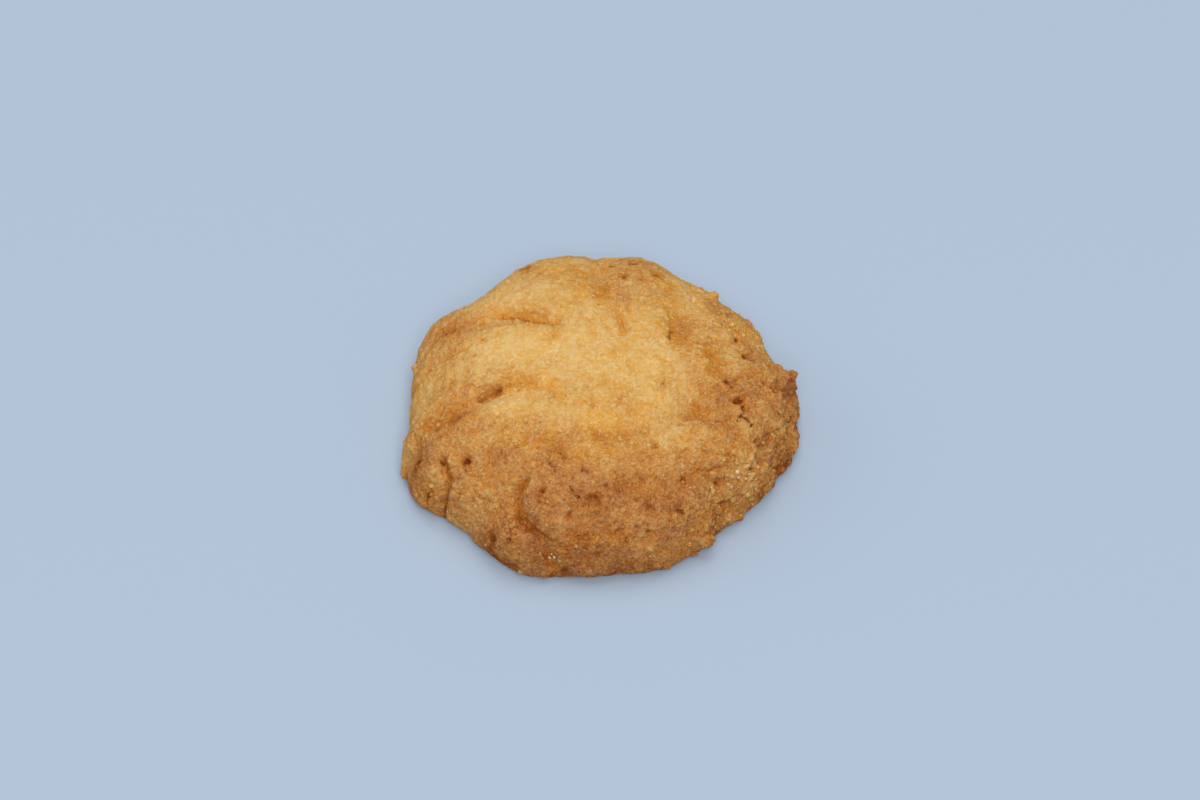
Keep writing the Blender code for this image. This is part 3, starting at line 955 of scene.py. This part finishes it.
def put_attribute(mesh, name, values):
    layer = mesh.attributes.new(name, "FLOAT", "POINT")
    layer.data.foreach_set("value", values.astype(np.float32))


def add_lumps(body):
    """Rounded lumps on the dome's surface, which the even remesh then fuses with it."""
    dome = BVHTree.FromBMesh(body)
    for target, half, stand in LUMPS:
        found, normal, _, _ = dome.find_nearest(Vector(target) * MM)
        outward = Vector(half).dot(Vector([abs(part) for part in normal]))
        middle = found + normal * (stand - 0.75 * outward) * MM
        size = Matrix.Diagonal((*(Vector(half) * MM), 1.0))
        place = Matrix.Translation(middle) @ size
        made = bmesh.ops.create_icosphere(body, subdivisions=3, radius=1.0, matrix=place)
        for vertex in made["verts"]:
            vertex.co += (vertex.co - middle) * 0.5 * noise.noise(vertex.co / MM)


def thin_base(body):
    """Fewer and larger faces on the flat underside."""
    flat = [v for v in body.verts if v.co.z < 0.1 * SKIN_VOXEL * MM and all(f.normal.z < -0.99 for f in v.link_faces)]
    bmesh.ops.unsubdivide(body, verts=flat, iterations=BASE_THINNING)


def crust_relief(places, rough):
    """The height of the lumps and crumbs of the crust, in millimetres, and how open its fissures are."""
    warp = np.stack([field(places, 1.6, 11.0 + 7.0 * axis) for axis in range(3)], axis=1)
    bent = places + 0.5 * warp
    relief = np.zeros(len(places))
    for turn, (length, pale, rim) in enumerate(RELIEF):
        relief += pale * (1.0 - rough) * crumb_field(bent, length, 3.0 + 5.0 * turn)
        relief += rim * rough * flake_field(bent, length * 1.2, 4.0 + 6.0 * turn)
    length, pale, rim = GRAIN_RELIEF
    relief += (pale + (rim - pale) * rough) * field(places, length, 5.0)
    size, depth = PLATES
    torn = np.clip((rough - 0.45) * 3.0, 0.0, 1.0) * np.clip(0.1 + 1.6 * field(places, 4.0, 51.0), 0.0, 1.0)
    fissure = torn * fissure_field(places + 1.0 * warp, size, 8.0)
    return relief - relief.mean(), depth * fissure


def press_folds(places, normals, held):
    """Sharpens the folds: a steep drop on a line's right, and a slope on its left with golden shade painted on it.

    Gives the moved places, the painted golden shade, and how far each vertex lies in a fold's dark line, which is
    painted shade.
    """
    moved = places.copy()
    gold_and_shade = np.zeros(len(places))
    bottom_shade = np.zeros(len(places))
    torn = 0.13 * field(places, 1.0, 31.0) + 0.07 * field(places, 0.4, 37.0)
    for points, steep, gentle, depth, golden in FOLD_LINES:
        distance = line_distance(places, points)
        wavy = distance + torn
        groove = np.where(wavy > 0, bell(wavy, gentle), bell(wavy, steep))
        moved -= normals * (depth * groove * held)[:, None]
        # painted golden shade on the slope left of the line
        gold_and_shade = np.maximum(gold_and_shade, golden * np.where(wavy > 0, bell(wavy, gentle * 0.9), bell(wavy, steep)))
        # painted shade along the fold's dark line
        bottom_shade = np.maximum(bottom_shade, min(1.0, golden * depth) * bell(wavy - 0.5 * FOLD_BOTTOM, FOLD_BOTTOM))
    return moved, gold_and_shade, bottom_shade


def press_dents(places, normals):
    """How far each vertex is pushed in by the dents of the rim, in millimetres."""
    depth = np.zeros(len(places))
    for middle, radius, most in DENTS:
        away = np.linalg.norm(places - np.array(middle), axis=1)
        depth += most * bell(away, radius)
    return normals * depth[:, None]


def biscuit_skin(material):
    """The baked surface: the solid's form with its crisp folds, cracks, pits and crumbly relief."""
    body = merged_body()
    add_lumps(body)
    smooth = ("SUBSURF", {"levels": 1, "render_levels": 1})
    even = ("REMESH", {"mode": "VOXEL", "voxel_size": SKIN_VOXEL * MM, "adaptivity": 0.0})
    mesh = applied(mesh_from(body, "biscuit_skin"), smooth, even)
    places, normals = coordinates(mesh)
    held = np.clip(places[:, 2] / 1.5, 0.0, 1.0)
    swell = SKIN_SWELL + 0.22 * field(places, 4.2, 1.0) + 0.16 * field(places, 2.0, 2.0)
    moved, gold_and_shade, bottom_shade = press_folds(places + normals * (swell * held)[:, None], normals, held)
    moved -= press_dents(places, normals)
    put_coordinates(mesh, moved)
    places, normals = coordinates(mesh)
    depth = press_cracks(places, surface_finder(mesh), vertex_tree(places))
    relief, fissure = crust_relief(places, crumbliness(places))
    relief = relief * (1.0 - 0.65 * gold_and_shade)
    moved = places + normals * ((relief - depth - fissure) * held)[:, None]
    moved[:, 2] = np.maximum(moved[:, 2], 0.0)
    put_coordinates(mesh, moved)
    put_attribute(mesh, "bake", bake_of(places, normals))
    # painted shade: how much the colour darkens in cracks, pits, pores, fissures and along the folds' dark lines,
    # more the deeper they lie
    put_attribute(mesh, "hollow_shade", np.clip((depth + 0.7 * fissure) / 0.75 + 0.47 * bottom_shade, 0.0, 1.0))
    put_attribute(mesh, "gold_and_shade", gold_of(places, gold_and_shade))
    put_attribute(mesh, "relief", relief / 0.15)
    body = bmesh.new()
    body.from_mesh(mesh)
    body.normal_update()
    thin_base(body)
    skin = own_piece("biscuit_skin", mesh_from(body, "biscuit_skin"), material)
    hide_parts(BISCUIT)
    return skin


def crumb_shapes(draw):
    """A few crumbs of radius 1, each a ball knocked out of round."""
    shapes = []
    for _ in range(9):
        crumb = bmesh.new()
        bmesh.ops.create_uvsphere(crumb, u_segments=7, v_segments=5, radius=1.0)
        shift = Vector([draw.uniform(0, 50) for _ in range(3)])
        for vertex in crumb.verts:
            vertex.co *= 1.0 + 0.55 * noise.noise(vertex.co * 1.3 + shift)
        shapes.append(crumb)
    return shapes


def scattered(name, shapes, spots, draw):
    """One mesh of these shapes, each at a spot of middle, normal and radius, with its corner count."""
    body = bmesh.new()
    part = bpy.data.meshes.new("part")
    counts = []
    for middle, normal, radius in spots:
        shape = draw.choice(shapes).copy()
        squash = Matrix.Diagonal((draw.uniform(0.8, 1.3), draw.uniform(0.7, 1.1), draw.uniform(0.45, 0.75), 1.0))
        turned = pose(normal, draw) @ squash @ Matrix.Scale(radius * MM, 4)
        shape.transform(Matrix.Translation(Vector(middle) * MM) @ turned)
        counts.append(len(shape.verts))
        shape.to_mesh(part)
        shape.free()
        body.from_mesh(part)
    bpy.data.meshes.remove(part)
    return mesh_from(body, name), np.array(counts)


def pose(normal, draw):
    """A turn that lays a shape's short side along the normal, with a random spin and tilt."""
    lean = Vector(normal) + Vector([draw.uniform(-0.35, 0.35) for _ in range(3)])
    spin = Matrix.Rotation(draw.uniform(0, math.tau), 4, "Z")
    return lean.to_track_quat("Z", "Y").to_matrix().to_4x4() @ spin


def stuck_crumbs(skin, material):
    """Crumbs stuck half sunk in the crust, most of them on its rough side and rim."""
    draw = random.Random(11)
    places, normals = coordinates(skin.data)
    near = vertex_tree(places)
    find = surface_finder(skin.data)
    shades = np.empty(len(places), np.float32)
    skin.data.attributes["bake"].data.foreach_get("value", shades)
    rough = crumbliness(places)
    spots = []
    tones = []

    def stick(point, normal, radius, sunk, darker):
        _, index, _ = near.find(point)
        spots.append((point - normal * sunk * radius, normal, radius))
        tones.append(float(shades[index]) + darker)

    for count, sizes in ((STUCK_CRUMBS, CRUMB_RADIUS), (BIG_CRUMBS, BIG_CRUMB_RADIUS)):
        placed = 0
        while placed < count:
            index = draw.randrange(len(places))
            if places[index][2] < 1.5 or draw.random() > rough[index] ** 2 + 0.02:
                continue
            radius = sizes[0] + (sizes[1] - sizes[0]) * draw.random() ** 2
            stick(Vector(places[index]), Vector(normals[index]), radius, draw.uniform(0.05, 0.4), draw.uniform(-0.32, 0.12))
            placed += 1
    for points, _, _, _, golden in FOLD_LINES:
        for first, second in zip(points, points[1:]):
            run = Vector(second) - Vector(first)
            right = Vector((run.y, -run.x)).normalized()
            for _ in range(int(golden * run.length * TORN_EDGE)):
                point, normal = find(*(Vector(first) + run * draw.random() + right * draw.uniform(0.15, 0.9)))
                if point:
                    stick(point, normal, draw.uniform(0.14, 0.38), 0.3, draw.uniform(-0.30, -0.05))
    for x, y, radius in PALE_CRUMBS:
        point, normal = find(x, y)
        if point:
            stick(point, normal, radius, 0.25, -0.28)
    mesh, counts = scattered("stuck_crumbs", crumb_shapes(draw), spots, draw)
    put_attribute(mesh, "bake", np.repeat(np.clip(tones, 0.0, 1.1), counts))
    for name in ("hollow_shade", "gold_and_shade", "relief"):
        put_attribute(mesh, name, np.zeros(len(mesh.vertices)))
    return own_piece("stuck_crumbs", mesh, material)


def grain_shapes(draw):
    """A few blocky crystals of half length 1, with bevelled edges."""
    shapes = []
    for _ in range(5):
        grain = bmesh.new()
        bmesh.ops.create_cube(grain, size=2.0)
        bmesh.ops.bevel(
            grain, geom=grain.edges, offset=0.35, offset_type="OFFSET", segments=1, profile=0.5,
            affect="EDGES", material=-1,
        )
        for vertex in grain.verts:
            vertex.co *= 1.0 + draw.uniform(-0.12, 0.12)
        shapes.append(grain)
    return shapes


def sugar_grains(skin):
    """Clear grains of sugar on the crust, a few of them large."""
    draw = random.Random(19)
    find = surface_finder(skin.data)
    spots = [(x, y, radius) for x, y, radius in SUGAR_GRAINS]
    places, _ = coordinates(skin.data)
    rough = crumbliness(places)
    while len(spots) < len(SUGAR_GRAINS) + LOOSE_GRAINS:
        index = draw.randrange(len(places))
        if draw.random() < rough[index] ** 3:
            spots.append((places[index][0], places[index][1], draw.uniform(*LOOSE_GRAIN_SIZE)))
    placed = []
    for x, y, radius in spots:
        point, normal = find(x, y)
        if point:
            placed.append((point + normal * 0.2 * radius, normal, radius))
    mesh, _ = scattered("sugar_grains", grain_shapes(draw), placed, draw)
    return own_piece("sugar_grains", mesh, sugar())


# ---------------------------------------------------------------- the picture

def plain_floor():
    mesh = bpy.data.meshes.new("floor")
    floor = bmesh.new()
    bmesh.ops.create_grid(floor, x_segments=1, y_segments=1, size=3.0)
    floor.to_mesh(mesh)
    floor.free()
    piece = bpy.data.objects.new("floor", mesh)
    bpy.context.scene.collection.objects.link(piece)
    finish = Finish("floor_paper", Base_Color=(*FLOOR_COLOUR, 1.0), Roughness=0.9, Specular_IOR_Level=0.1)
    mesh.materials.append(finish.material)


def soft_light(name, place, size, power, colour=(1.0, 1.0, 1.0)):
    light = bpy.data.lights.new(name, "AREA")
    light.shape = "SQUARE"
    light.size = size
    light.energy = power
    light.color = colour
    lamp = bpy.data.objects.new(name, light)
    lamp.location = place
    lamp.rotation_euler = (-Vector(place)).to_track_quat("-Z", "Y").to_euler()
    bpy.context.scene.collection.objects.link(lamp)


def studio():
    world = bpy.data.worlds.new("studio")
    world.use_nodes = True
    background = world.node_tree.nodes["Background"]
    background.inputs["Color"].default_value = (1.0, 1.0, 1.0, 1.0)
    background.inputs["Strength"].default_value = 0.30
    bpy.context.scene.world = world
    soft_light("overhead", (0.12, 0.48, 1.90), 1.6, 14.5)
    soft_light("front", (0.12, -1.10, 1.50), 1.0, 16.7)
    soft_light("side", (-1.50, 0.35, 0.95), 0.9, 3.1)
    bpy.context.scene.view_settings.view_transform = "Standard"
    bpy.context.scene.view_settings.look = "None"


def camera():
    lens = bpy.data.cameras.new("view")
    lens.lens = LENS
    lens.sensor_width = SENSOR
    lens.clip_start = 0.01
    distance = VIEW_WIDTH * LENS / SENSOR
    rise = math.radians(VIEW_ELEVATION)
    back = Vector((0.0, -math.cos(rise), math.sin(rise)))
    holder = bpy.data.objects.new("view", lens)
    holder.location = (Vector(VIEW_AIM) + back * distance) * MM
    holder.rotation_euler = (math.radians(90.0 - VIEW_ELEVATION), 0.0, 0.0)
    bpy.context.scene.collection.objects.link(holder)
    bpy.context.scene.camera = holder


camera()
plain_floor()
studio()
dough = baked_dough()
skin = biscuit_skin(dough)
stuck_crumbs(skin, dough)
sugar_grains(skin)
